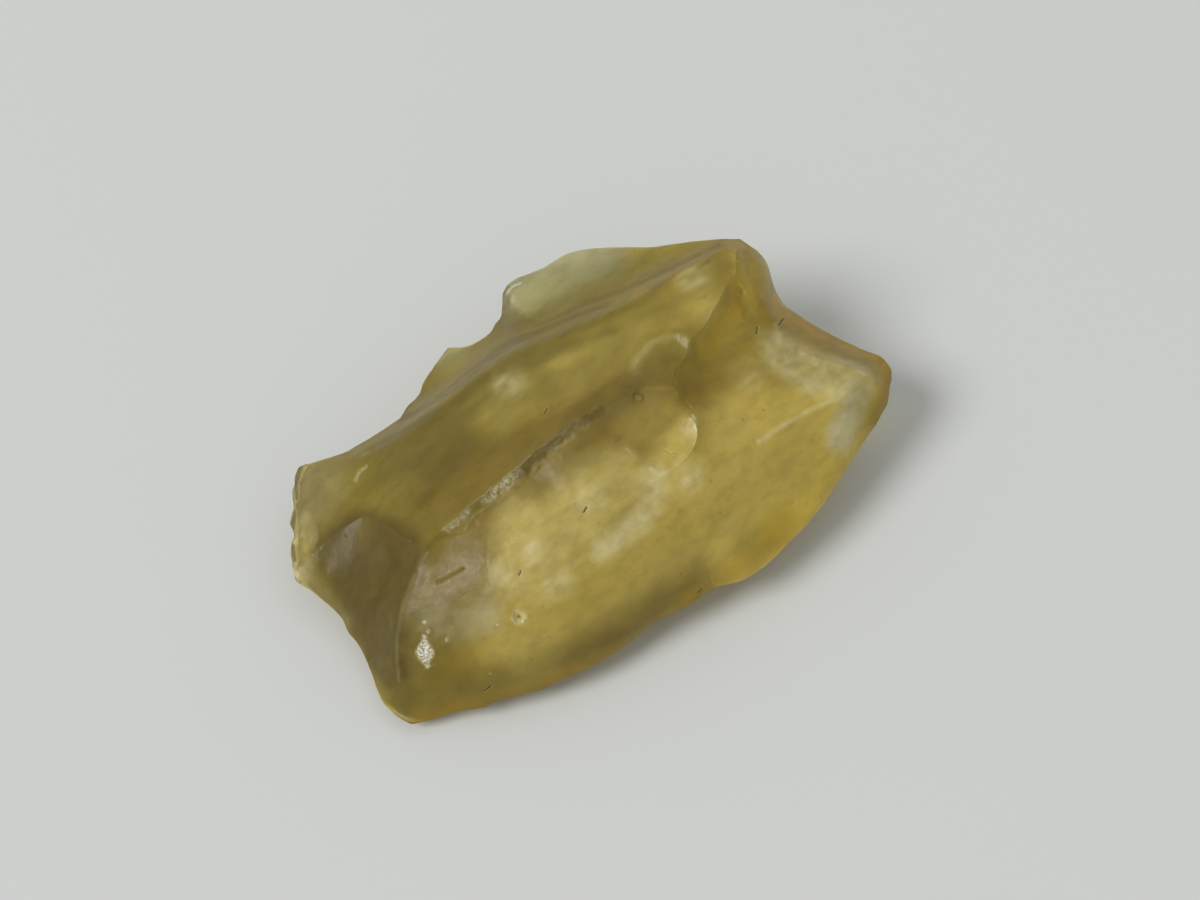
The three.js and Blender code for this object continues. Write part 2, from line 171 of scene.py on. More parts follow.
FLANGE_GLINT = [(507, 292), (512, 286), (519, 283)]
FLANGE_BROWN = [(575, 256), (605, 254), (636, 252)]
FLANK_STREAKS = [
    [(402, 418), (450, 392), (494, 356), (540, 330), (574, 314)],
    [(438, 396), (478, 364), (520, 336), (566, 318), (604, 304)],
    [(540, 322), (586, 302), (630, 286), (668, 268), (716, 246)],
    [(372, 446), (410, 426), (450, 404), (486, 376)],
    [(470, 408), (520, 372), (566, 344), (612, 330)],
]
UPPER_STREAKS = [
    [(360, 490), (410, 462), (462, 428), (520, 390), (580, 360)],
    [(420, 500), (470, 462), (530, 420), (590, 380), (640, 350)],
    [(560, 348), (610, 330), (650, 310), (700, 286)],
]
CLOUDS = [(590, 500), (537, 552), (500, 575), (557, 583), (690, 475), (508, 382), (748, 373), (693, 275)]
OLIVE_DEPTHS = [
    [(440, 470), (500, 420), (560, 385), (610, 360)],
    [(590, 410), (625, 385), (655, 362)], [(436, 428), (480, 400), (524, 372)],
    [(650, 300), (690, 282)],
    [(470, 690), (540, 665), (600, 640), (660, 600)],
]
LOWER_RIM = [(425, 715), (480, 705), (540, 688), (600, 660), (650, 632), (690, 596)]
HONEY = [(520, 640), (560, 600), (640, 560), (700, 510), (760, 460), (800, 430)]
RIGHT_SLOPE = [(700, 470), (760, 440), (815, 440), (835, 465), (800, 505), (750, 545)]
FRONT_CENTRE = [(528, 532), (530, 572), (550, 552), (580, 510), (620, 480)]
UPPER_GLOW = [(500, 410), (560, 378), (620, 345), (690, 300)]
POCKET_GLOW_FLOOR = [(640, 425), (665, 425), (680, 440)]
DARK_TICKS = [
    [(544, 412), (547, 407)], [(590, 413), (595, 408)], [(757, 333), (758, 327)], [(584, 512), (587, 507)],
    [(519, 575), (521, 571)], [(484, 692), (491, 687)], [(699, 593), (702, 590)], [(780, 324), (784, 318)],
]
POCKET_BLOW = (690, 420)
LEFT_BLOW = (470, 560)
CREST_BLOW = (728, 285)

# The marks near which the mesh is refined.
FINE_MARKS = [
    CRACK, HAIRLINE, POCKET_RIM, THUMB_SCAR, HINGE, SCARP, LEDGE_LIP, LEDGE_REFLECTION, SPARKLE, POCKET_TICK,
    SQUARE_PIT, *GLINT_SPECKS, *RING_PITS, *DARK_TICKS,
]

# The wear of the whole surface, broad, small and tiny: the size of its patches, the seed, and the depth.
WEAR = [(4.0, 3, 0.05), (1.1, 8, 0.014), (0.45, 21, 0.006)]

# The chips along the thin rim, which is where the surface stands steep and low.
RIM_STEEPNESS = 0.35
RIM_TOP = 11
RIM_TOP_FADE = 2
RIM_CHIP_DEPTH = 0.13
RIM_CHIP_SIZE = 1.5
RIM_CHIP_SEED = 91
RIM_CHIP_SPREAD = 0.2

# The streaks of the back flank, of which a share is even and the rest follows the broad wear.
STREAK_DEPTH = 0.09
STREAK_FADE = 1.1
STREAK_EVEN = 0.6

# The marks that are pressed in, in this order: the mark, its depth, half width and fade in millimetres, and
# where it is rough the size and the seed of its grain and the share that stays even.
PRESSED = [
    *[(streak, 0.045, 0.15, 1.1) for streak in UPPER_STREAKS],
    (LEDGE_WALL, 0.10, 0.5, 0.4, 0.7, 31, 0.5),
    (LEDGE_LIP, -0.05, 0.02, 0.22),
    (THUMB_SCAR, 0.08, 0.03, 0.45),
    (HINGE, 0.08, 0.03, 0.26),
    (POCKET_TICK, 0.03, 0.02, 0.2),
    (CRACK, 0.06, 0.03, 0.16),
    (HAIRLINE, 0.008, 0.02, 0.2),
    (CRESCENT, 0.07, 0.05, 0.3),
    (SQUARE_PIT, 0.24, 0.34, 0.25, 0.5, 41, 0.6),
    (SPARKLE, 0.05, 0.30, 0.4, 0.35, 44, 0.5),
    (CREST_FACET, 0.16, 0.5, 0.6),
    (LOBE_CHIP, 0.16, 0.30, 0.45),
    (CREST_ROUGH, 0.18, 0.6, 0.7, 0.8, 52, 0.5),
    *[(bevel, 0.08, 0.3, 0.8) for bevel in RIM_BEVELS],
]
PRESSED_LAST = [(tick, 0.08, 0.05, 0.16) for tick in DARK_TICKS]

# The grooves around two pits, and the frost around the square pit.
RING_DEPTH = 0.10
RING_RADIUS = 0.42
RING_FADE = 0.2
PIT_FROST = 0.55
PIT_FROST_RADIUS = 0.45
PIT_FROST_FADE = 0.3

# The ripples around the places where flakes were struck off: the centre, the nearest and farthest reach,
# the spacing of the rings and their height.
RIPPLES = [
    (POCKET_BLOW, 1.0, 5.5, 1.1, 0.010),
    (LEFT_BLOW, 3.0, 11.0, 1.7, 0.006),
    (CREST_BLOW, 3.0, 12.0, 1.9, 0.008),
]
RIPPLE_RISE = 1.0
RIPPLE_FALL = 3.0
RIPPLE_WANDER = 5.0
RIPPLE_SEED = 61

# How the glass is coloured, with painted glow, shade, highlights and reflections among the marks: the
# marks, their strength, half width and fade in millimetres, and where they are uneven the noise that they
# follow and the share that stays even.
COLOURING = {
    "milk": [
        ([RIGHT_MILK], 1, 1.3, 2.0, "patches", 0.75),
        ([MILK_ARC], 1, 0.2, 1.6, "wisps", 0.45),
        ([GREEN_PALE], 0.45, 0.7, 1.8),
        (CLOUDS, 0.85, 0.4, 1.9, "wisps", 0.35),
        ([GREEN_FACET], 0.22, 0.5, 1.8),
        ([FRONT_CENTRE], 0.34, 1.4, 2.8, "wisps", 0.3),
        ([RIB], 0.35, 0.02, 0.3),
        ([KEEL], 0.75, 0.04, 0.35, "wisps", 0.35),
        ([RIGHT_LINE], 0.60, 0.04, 0.45),
        ([THUMB_SCAR], 0.40, 0.1, 0.7, "wisps", 0.4),
        ([SCALLOP], 0.45, 0.5, 0.7),
        ([FLANGE], 0.12, 1.2, 1.8),
    ],
    # Whitish frost, and among it painted highlights, glints and reflections, as the rows below say.
    "frost_and_highlights": [
        # Painted reflection of the window on the steep ledge wall.
        ([LEDGE_REFLECTION], 0.85, 0.35, 0.35, "specks", 0.4),
        ([LEDGE_REFLECTION_END], 0.70, 0.2, 0.4, "specks", 0.4),
        ([LEDGE_WALL], 0.35, 0.4, 0.4, "specks", 0),
        # Painted highlight: a lamp's reflection on a facet, with small glints above it.
        ([SPARKLE], 1, 0.04, 0.35),
        ([SPARKLE_DIAMOND], 1, 0.22, 0.35),
        (SPARKLE_TOPS, 0.9, 0.03, 0.22),
        # Small painted glints.
        (GLINT_SPECKS, 0.65, 0.02, 0.14),
        ([THUMB_GLINT], 0.45, 0.15, 0.4),
        ([THUMB_SCAR], 0.30, 0.02, 0.18, "breaks", 0),
        ([POCKET_RIM], 0.35, 0.02, 0.2, "breaks", 0),
        ([POCKET_GLOW], 0.8, 0.05, 0.25),
        ([SCARP], 0.35, 0.03, 0.22, "breaks", 0),
        # Painted highlights: thin lit lines along the gable edge and the band's rim.
        ([GABLE_EDGE], 0.35, 0.01, 0.18, "breaks", 0),
        ([BAND_RIM], 0.35, 0.01, 0.2, "breaks", 0),
        ([CRESCENT], 0.5, 0.04, 0.25),
        ([FLANGE_GLINT], 0.8, 0.10, 0.3),
    ],
    "olive": [
        (OLIVE_DEPTHS, 0.6, 0.5, 2.4, "patches", 0.4),
        ([GABLE_SHADE], 0.9, 0.2, 0.7),
        # Painted shade under the ledge wall.
        ([LEDGE_SHADE], 0.8, 0.3, 0.4),
        ([RIGHT_RIM], 0.7, 0.5, 2.2, "patches", 0.6),
        ([HEEL], 0.55, 0.6, 1.8),
        ([FLANGE], 0.30, 1.2, 3.4),
        # Painted shade in the trough by the crack.
        ([SILL_SHADE], 0.65, 0.7, 1.6),
        ([LOBE_NOTCH], 0.45, 0.5, 1.2),
        (FLANK_STREAKS, 0.5, 0.1, 0.9),
        (UPPER_STREAKS, 0.3, 0.2, 1.0),
        # Painted shade: darker towards the lower edge.
        ([LOWER_RIM], 0.5, 0.2, 2.2),
    ],
    "brown": [
        ([BAND], 0.95, 0.7, 0.9),
        ([SCARP_FOOT], 0.6, 0.5, 0.9),
        ([PROW], 0.6, 0.5, 0.9),
        ([LOWER_RIM], 0.65, 0.3, 1.5, "patches", 0.6),
        ([FLANGE_BROWN], 0.5, 0.3, 0.9),
        ([PEACH], 0.35, 1.6, 3.0),
        ([LEFT_RIM], 0.25, 0.3, 1.4),
        # Painted shade in the trough by the crack, with a brown tint.
        ([SILL_SHADE], 0.35, 0.9, 1.8),
        ([WARM_LINE], 0.5, 0.02, 0.25),
        ([CREST_MOTTLE], 0.6, 0.5, 1.4, "mottle", 0),
        ([CREST_ROUGH], 0.5, 0.5, 0.9),
    ],
    "green": [
        ([GREEN_PALE], 0.8, 0.7, 1.5),
        ([GREEN_FACET], 0.5, 0.5, 2.0),
        ([LOBE_NOTCH], 0.4, 0.8, 2.4),
        ([LEFT_RIM], 0.35, 0.3, 1.4),
        # The pale grey-green of the thin flange is partly its own tint and partly a painted sheen of the
        # sky.
        ([FLANGE], 0.72, 1.2, 4.2),
        ([PEACH], 0.5, 1.0, 3.5),
    ],
    "dark": [
        (DARK_TICKS, 1, 0.03, 0.12),
        ([CRACK], 1, 0.02, 0.12),
        ([SQUARE_PIT], 0.8, 0.05, 0.3),
        (RIM_BEVELS, 0.8, 0.1, 0.3),
        (RING_PITS, 0.6, 0.02, 0.2),
        ([POCKET_TICK], 0.7, 0.01, 0.12),
    ],
    # Painted glow: a brighter, warmer yellow where light that has passed through the stone comes out.
    "honey": [
        ([HONEY], 0.8, 1.6, 4.5),
        ([RIGHT_SLOPE], 0.9, 3.0, 3.0),
        ([FRONT_CENTRE], 0.75, 1.2, 3.0),
        ([UPPER_GLOW], 0.85, 0.8, 3.2, "patches", 0.3),
        ([CREST_FACET], 0.35, 0.7, 1.6),
        ([POCKET_GLOW_FLOOR], 0.45, 0.5, 2.6),
    ],
}

# Painted shade on the left facet: olive that ends where the stone turns away from that face.
LEFT_FACET_SHADE = [(LEFT_FACET, 1, 1.3, 1.6, "wisps", 0.75)]

# The colours of the glass, and of the painted glow, shade and highlights.
AMBER = (0.76, 0.62, 0.11, 1)
PALE_YELLOW = (0.97, 0.82, 0.20, 1)
STREAK_OLIVE = (0.56, 0.48, 0.14, 1)
HONEY_GLOW = (0.92, 0.72, 0.175, 1)
OLIVE_AND_PAINTED_SHADE = (0.27, 0.215, 0.025, 1)
ORANGE_BROWN = (0.74, 0.48, 0.04, 1)
PALE_GREEN = (0.70, 0.70, 0.50, 1)
CLOUD_WHITE = (0.84, 0.77, 0.46, 1)
FROST_AND_HIGHLIGHT_WHITE = (0.90, 0.91, 0.84, 1)
CRACK_DARK = (0.045, 0.03, 0.01, 1)
BRUSH_SHADE = (0.34, 0.27, 0.07, 1)
PIT_SHADE = (0.24, 0.17, 0.03, 1)
FLECK_SHADE = (0.22, 0.17, 0.03, 1)
DEPTH_COLOUR = (0.88, 0.825, 0.07, 1)

# How the glass takes the light, and how its tiny pits and its clouds look. The density is per metre, the
# relief in metres, and the pits are in millimetres, their floor as a share of their size.
DEPTH_DENSITY = 140
REFRACTION = 1.46
SHEEN = 0.2
CLEAREST = 0.93
SMOOTHEST = 0.29
RELIEF_STRENGTH = 0.55
RELIEF_DEPTH = 0.08 * MM
PIT_SPACING = 2.1
PIT_SIZE = 0.22
PIT_FLOOR = 0.3
CLOUD_LEAST = 0.62
CLOUD_WAVER = 0.55

# The sockets of a Mix node that is set to colours.
MIX_FACTOR = 0
MIX_FIRST = 6
MIX_SECOND = 7
MIX_RESULT = 2


def away(azimuth, elevation):
    """The direction from the stone to a viewer or a light: azimuth 0 is in front, 90 at the right."""
    a, e = math.radians(azimuth), math.radians(elevation)
    return Vector((math.sin(a) * math.cos(e), -math.cos(a) * math.cos(e), math.sin(e)))


def set_camera():
    data = bpy.data.cameras.new("camera")
    data.lens = LENS
    data.sensor_width = SENSOR
    data.clip_start = NEAREST_SEEN
    camera = bpy.data.objects.new("camera", data)
    bpy.context.scene.collection.objects.link(camera)
    back = away(VIEW_AZIMUTH, VIEW_ELEVATION)
    camera.location = VIEW_TARGET + back * VIEW_DISTANCE
    camera.rotation_euler = back.to_track_quat("Z", "Y").to_euler()
    bpy.context.scene.camera = camera


def soft_lamp(name, azimuth, elevation, distance, size, power, colour):
    data = bpy.data.lights.new(name, "AREA")
    data.shape = "DISK"
    data.size = size
    data.energy = power
    data.color = colour
    lamp = bpy.data.objects.new(name, data)
    bpy.context.scene.collection.objects.link(lamp)
    direction = away(azimuth, elevation)
    lamp.location = direction * distance
    lamp.rotation_euler = direction.to_track_quat("Z", "Y").to_euler()


def light_studio():
    soft_lamp("window", azimuth=VIEW_AZIMUTH + WINDOW_TURN, elevation=48, distance=2.5, size=1.2, power=39,
              colour=WINDOW_COLOUR)
    world = bpy.data.worlds.new("dome")
    bpy.context.scene.world = world
    world.use_nodes = True
    sky = world.node_tree.nodes["Background"]
    sky.inputs["Color"].default_value = DOME_COLOUR
    nodes, links = world.node_tree.nodes, world.node_tree.links
    split = nodes.new("ShaderNodeSeparateXYZ")
    rise = nodes.new("ShaderNodeMapRange")
    rise.inputs["To Min"].default_value = DOME_DIMMEST
    rise.inputs["To Max"].default_value = DOME_BRIGHTEST
    links.new(nodes.new("ShaderNodeTexCoord").outputs["Generated"], split.inputs[0])
    links.new(split.outputs["Z"], rise.inputs["Value"])
    links.new(rise.outputs[0], sky.inputs["Strength"])


def lay_floor():
    bm = bmesh.new()
    bmesh.ops.create_grid(bm, x_segments=1, y_segments=1, size=SHEET_REACH)
    mesh = bpy.data.meshes.new("floor")
    bm.to_mesh(mesh)
    bm.free()
    for vertex in mesh.vertices:
        vertex.co.z = -SHEET_DROP
    floor = bpy.data.objects.new("floor", mesh)
    bpy.context.scene.collection.objects.link(floor)
    mesh.materials.append(paper())


def paper():
    material = bpy.data.materials.new("pale paper")
    material.use_nodes = True
    nodes, links = material.node_tree.nodes, material.node_tree.links
    skin = nodes["Principled BSDF"]
    skin.inputs["Base Color"].default_value = SHEET_COLOUR
    skin.inputs["Roughness"].default_value = SHEET_ROUGHNESS
    place = nodes.new("ShaderNodeTexCoord")
    fibre = nodes.new("ShaderNodeTexNoise")
    fibre.inputs["Scale"].default_value = FIBRE_SCALE
    bump = nodes.new("ShaderNodeBump")
    bump.inputs["Strength"].default_value = FIBRE_STRENGTH
    bump.inputs["Distance"].default_value = FIBRE_DEPTH
    links.new(place.outputs["Object"], fibre.inputs["Vector"])
    links.new(fibre.outputs["Fac"], bump.inputs["Height"])
    links.new(bump.outputs["Normal"], skin.inputs["Normal"])
    return material


def grid_sole(bm):
    """Cuts the flat resting face into small squares, so that its triangles are as fine as the rest."""
    def sole():
        return [f for f in bm.faces if max(v.co.z for v in f.verts) < SOLE_LEVEL * MM]

    bmesh.ops.dissolve_faces(bm, faces=sole())
    for axis in (Vector((1, 0, 0)), Vector((0, 1, 0))):
        reach = [v.co.dot(axis) for f in sole() for v in f.verts]
        for i in range(1, int((max(reach) - min(reach)) / (SOLE_GRID * MM)) + 1):
            flat = sole()
            pieces = set(flat) | {e for f in flat for e in f.edges} | {v for f in flat for v in f.verts}
            at = axis * (min(reach) + i * SOLE_GRID * MM)
            bmesh.ops.bisect_plane(bm, geom=list(pieces), plane_co=at, plane_no=axis)


def fine_mesh(node):
    """The stone's solid with a fine, smooth surface whose edges between fractures stay crisp."""
    bm = bmesh.new()
    bm.from_mesh(node.data)
    bmesh.ops.remove_doubles(bm, verts=bm.verts, dist=WELD * MM)
    grid_sole(bm)
    bmesh.ops.triangulate(bm, faces=bm.faces)
    for edge in bm.edges:
        edge.smooth = edge.calc_face_angle(0) < math.radians(SHARP_TURN)
    for _ in range(HALVINGS):
        bmesh.ops.subdivide_edges(bm, edges=bm.edges, cuts=1, use_grid_fill=True)
        bmesh.ops.triangulate(bm, faces=[f for f in bm.faces if len(f.verts) > 3])
    loose = [v for v in bm.verts if v.co.z > SOLE_LEVEL * MM and all(e.smooth for e in v.link_edges)]
    for _ in range(SMOOTH_ROUNDS):
        bmesh.ops.smooth_vert(bm, verts=loose, factor=SMOOTH_FACTOR,
                              use_axis_x=True, use_axis_y=True, use_axis_z=True)
    return bm


def sight_line(point):
    """The eye and the direction in which it sees a point of the picture."""
    a = math.radians(VIEW_AZIMUTH)
    back = away(VIEW_AZIMUTH, VIEW_ELEVATION)
    right = Vector((math.cos(a), math.sin(a), 0))
    focal = LENS / SENSOR * PICTURE_WIDTH
    x = (point[0] - PICTURE_WIDTH / 2) / focal
    y = (PICTURE_HEIGHT / 2 - point[1]) / focal
    return VIEW_TARGET + back * VIEW_DISTANCE, (right * x + back.cross(right) * y - back).normalized()


def on_stone(tree, point):
    """Where a picture point lies on the stone, in millimetres. Past the outline it is the nearest place."""
    eye, direction = sight_line(point)
    hit = tree.ray_cast(eye, direction)[0]
    if hit is None:
        hit = tree.find_nearest(eye + direction * VIEW_DISTANCE)[0]
    return np.array(hit) / MM


def smooth_step(x):
    x = np.clip(x, 0, 1)
    return x * x * (3 - 2 * x)


def partly(values, even):
    """A factor of which a share stays even and the rest follows the values of a noise."""
    return even + (1 - even) * values


class Skin:
    """The fine surface as arrays in millimetres, on which marks are pressed and painted."""

    def __init__(self, bm):
        bm.verts.ensure_lookup_table()
        self.tree = BVHTree.FromBMesh(bm)
        self.at = np.array([v.co[:] for v in bm.verts]) / MM
        self.out = np.array([v.normal[:] for v in bm.verts])
        self.free = smooth_step((self.at[:, 2] - SOLE_LEVEL) / SOLE_FADE)
        self.sunk = np.zeros(len(self.at))
        self.deepest = None

    def path(self, points):
        return [on_stone(self.tree, p) for p in points]

    def gap(self, mark):
        """The distance of each vertex from a mark."""
        path = self.path([mark] if isinstance(mark, tuple) else mark)
        nearest = np.linalg.norm(self.at - path[0], axis=1)
        for start, end in zip(path, path[1:]):
            run = end - start
            t = np.clip((self.at - start) @ run / max(run @ run, LEAST_SQUARE), 0, 1)
            nearest = np.minimum(nearest, np.linalg.norm(self.at - start - t[:, None] * run, axis=1))
        return nearest

    def facing(self, point):
        """1 where the surface is turned as it is at a picture point, 0 on the faces around it."""
        eye, direction = sight_line(point)
        normal = np.array(self.tree.ray_cast(eye, direction)[1])
        return smooth_step((self.out @ normal - ALIKE) / ALIKE_FADE)

    def stroke(self, mark, width, fade):
        """1 within a mark's half width, falling to 0 over the fade around it."""
        return smooth_step(1 - (self.gap(mark) - width) / fade)

    def ring(self, centre, radius, fade):
        """1 on a circle around a picture point, falling to 0 on both sides of it."""
        return smooth_step(1 - np.abs(self.gap(centre) - radius) / fade)

    def grain(self, size, seed, stretch=(1, 1, 1)):
        """Soft noise from -1 to 1 with patches of about the given size."""
        scale = np.array(stretch) / size
        shift = Vector((seed, seed, seed))
        return np.array([noise.noise(Vector(p * scale) + shift) for p in self.at]) * GRAIN_GAIN

    def measure_walls(self):
        """Finds how deep each place may be pressed, as a share of the glass behind it."""
        walls = []
        for at, out in zip(self.at * MM, self.out):
            inwards = Vector(-out)
            gap = self.tree.ray_cast(Vector(at) + inwards * WALL_START * MM, inwards)[3]
            walls.append(0 if gap is None else gap / MM)
        self.deepest = WALL_SHARE * np.array(walls)

    def press(self, depth):
        """Moves the surface inwards by a depth, but not on the resting face or through a wall."""
        sunk = np.minimum(self.sunk + depth * self.free, self.deepest)
        self.at -= self.out * (sunk - self.sunk)[:, None]
        self.sunk = sunk


def carve(skin):
    """The fine shapes: worn undulation, streaks, chips, ripples, pits and cracks."""
    skin.measure_walls()
    grains = [skin.grain(size, seed) for size, seed, depth in WEAR]
    skin.press(sum(depth * (1 + grain) for (size, seed, depth), grain in zip(WEAR, grains)))
    chip_rim(skin)
    for streak in FLANK_STREAKS:
        skin.press(STREAK_DEPTH * skin.stroke(streak, 0, STREAK_FADE) * partly(grains[0], STREAK_EVEN))
    press_marks(skin, PRESSED)
    for pit in RING_PITS:
        skin.press(RING_DEPTH * skin.ring(pit, RING_RADIUS, RING_FADE))
    press_marks(skin, PRESSED_LAST)
    for centre, nearest, farthest, spacing, height in RIPPLES:
        ripple(skin, centre, nearest, farthest, spacing, height)


def chip_rim(skin):
    """Small chips along the thin rim."""
    steep = smooth_step(1 - np.abs(skin.out[:, 2]) / RIM_STEEPNESS)
    low = smooth_step((RIM_TOP - skin.at[:, 2]) / RIM_TOP_FADE)
    chips = smooth_step(skin.grain(RIM_CHIP_SIZE, RIM_CHIP_SEED) + RIM_CHIP_SPREAD)
    skin.press(RIM_CHIP_DEPTH * steep * low * chips)


def press_marks(skin, rows):
    """Presses in the marks of a list, one after the other."""
    for mark, depth, width, fade, *rough in rows:
        sunk = depth * skin.stroke(mark, width, fade)
        if rough:
            size, seed, even = rough
            sunk = sunk * partly(skin.grain(size, seed), even)
        skin.press(sunk)


def ripple(skin, centre, nearest, farthest, spacing, height):
    """Faint rings around the place where a flake was struck off."""
    gap = skin.gap(centre)
    inside = smooth_step((gap - nearest) / RIPPLE_RISE) * smooth_step((farthest - gap) / RIPPLE_FALL)
    wave = np.sin(gap * math.tau / spacing + skin.grain(RIPPLE_WANDER, RIPPLE_SEED))
    skin.press(height * inside * (1 + wave))


def paint(skin):
    """The colouring of the glass, with painted glow, shade and highlights, as amounts from 0 to 1 at each
    vertex.
    """
    patches = partly(skin.grain(size=2.4, seed=71), 0.5)
    wisps = partly(skin.grain(size=1.0, seed=75, stretch=(0.6, 1.6, 1)), 0.5)
    specks = partly(skin.grain(size=0.35, seed=79), 0.5)
    breaks = smooth_step(1.6 * patches - 0.45) * partly(specks, 0.5)
    mottle = smooth_step(2 * wisps - 0.6)
    noises = {"patches": patches, "wisps": wisps, "specks": specks, "breaks": breaks, "mottle": mottle}
    amounts = {name: cover(skin, rows, noises) for name, rows in COLOURING.items()}
    pit_frost = PIT_FROST * skin.ring(SQUARE_PIT, PIT_FROST_RADIUS, PIT_FROST_FADE)
    amounts["frost_and_highlights"] = np.maximum(amounts["frost_and_highlights"], pit_frost)
    # Painted shade on the left facet.
    facet = cover(skin, LEFT_FACET_SHADE, noises) * skin.facing(LEFT_FACE)
    amounts["olive"] = np.maximum(amounts["olive"], facet)
    return amounts


def cover(skin, rows, noises):
    """The strongest of the marks of a list at each vertex."""
    amount = np.zeros(len(skin.at))
    for marks, strength, width, fade, *uneven in rows:
        stroke = strength * np.max([skin.stroke(mark, width, fade) for mark in marks], axis=0)
        if uneven:
            name, even = uneven
            stroke = stroke * partly(noises[name], even)
        amount = np.maximum(amount, stroke)
    return amount


def heal(bm):
    """Removes the slivers and the back-to-back faces that a partial halving leaves."""
    bmesh.ops.dissolve_degenerate(bm, edges=bm.edges, dist=SLIVER * MM)
    bmesh.ops.triangulate(bm, faces=[f for f in bm.faces if len(f.verts) > 3])
    groups = {}
    for face in bm.faces:
        groups.setdefault(frozenset(face.verts), []).append(face)
    twins = [f for group in groups.values() if len(group) > 1 for f in group]
    bmesh.ops.delete(bm, geom=twins, context="FACES")


def refine_marks(bm):
    """Halves the edges near the finest marks, so that they stay thin."""
    for reach in (2 * FINE_REACH, FINE_REACH):
        skin = Skin(bm)
        near = np.min([skin.gap(m) for m in FINE_MARKS], axis=0) < reach
        edges = [e for e in bm.edges if near[e.verts[0].index] and near[e.verts[1].index]]
        edges = [e for e in edges if e.calc_length() > SHORTEST_EDGE * MM]
        bmesh.ops.subdivide_edges(bm, edges=edges, cuts=1, use_grid_fill=True)
        bmesh.ops.triangulate(bm, faces=[f for f in bm.faces if len(f.verts) > 3])
        heal(bm)
        bm.verts.index_update()
        bm.normal_update()


def add_stone():
    bm = fine_mesh(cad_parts["desert_glass"])
    bm.normal_update()
    bm.verts.index_update()
    refine_marks(bm)
    skin = Skin(bm)
    colouring = paint(skin)
    carve(skin)
    low, high = (np.array(corner) / MM for corner in cad_box)
    skin.at = np.clip(skin.at, low, high)
    mesh = bpy.data.meshes.new("raw_desert_glass")
    bm.to_mesh(mesh)
    bm.free()
    mesh.vertices.foreach_set("co", (skin.at * MM).ravel())
    for name, amount in colouring.items():
        layer = mesh.attributes.new(name, "FLOAT", "POINT")
        layer.data.foreach_set("value", np.clip(amount, 0, 1).astype(np.float32))
    for face in mesh.polygons:
        face.use_smooth = True
    mesh.update()
    stone = bpy.data.objects.new("raw_desert_glass", mesh)
    bpy.context.scene.collection.objects.link(stone)
    mesh.materials.append(desert_glass())
    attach(stone, "root")
    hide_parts("desert_glass")
    print("stone triangles", len(mesh.polygons))


class Graph:
    """Short forms for the nodes of one material."""

    def __init__(self, material):
        material.use_nodes = True
        self.nodes = material.node_tree.nodes
        self.links = material.node_tree.links
        self.place = self.nodes.new("ShaderNodeTexCoord").outputs["Object"]

    def put(self, value, socket):
        if isinstance(value, bpy.types.NodeSocket):
            self.links.new(value, socket)
        else:
            socket.default_value = value

    def amount(self, name):
        node = self.nodes.new("ShaderNodeAttribute")
        node.attribute_name = name
        return node.outputs["Fac"]

    def math(self, kind, a, b, clamp=False):
        node = self.nodes.new("ShaderNodeMath")
        node.operation = kind
        node.use_clamp = clamp
        self.put(a, node.inputs[0])
        self.put(b, node.inputs[1])
        return node.outputs[0]

    def mix(self, factor, a, b):
        node = self.nodes.new("ShaderNodeMix")
        node.data_type = "RGBA"
        self.put(factor, node.inputs[MIX_FACTOR])
        self.put(a, node.inputs[MIX_FIRST])
        self.put(b, node.inputs[MIX_SECOND])
        return node.outputs[MIX_RESULT]

    def total(self, parts):
        """The sum of several values, each with its weight."""
        result = 0.0
        for value, weight in parts:
            result = self.math("ADD", result, self.math("MULTIPLY", value, weight))
        return result

    def noise(self, size, detail, stretch=(1, 1, 1)):
        """Noise from 0 to 1 with patches of about the given size in millimetres."""
        turn = self.nodes.new("ShaderNodeMapping")
        turn.inputs["Scale"].default_value = stretch
        self.put(self.place, turn.inputs["Vector"])
        node = self.nodes.new("ShaderNodeTexNoise")
        node.inputs["Scale"].default_value = 1 / (size * MM)
        node.inputs["Detail"].default_value = detail
        self.put(turn.outputs[0], node.inputs["Vector"])
        return node.outputs["Fac"]

    def pits(self, spacing, size):
        """1 on the plain surface, falling to 0 in scattered round pits."""
        node = self.nodes.new("ShaderNodeTexVoronoi")
        node.inputs["Scale"].default_value = 1 / (spacing * MM)
        self.put(self.place, node.inputs["Vector"])
        return self.steps(node.outputs["Distance"], PIT_FLOOR * size / spacing, size / spacing)

    def steps(self, value, low, high):
        """0 below low, 1 above high."""
        node = self.nodes.new("ShaderNodeMapRange")
        node.inputs["From Min"].default_value = low
        node.inputs["From Max"].default_value = high
        self.put(value, node.inputs["Value"])
        return node.outputs[0]


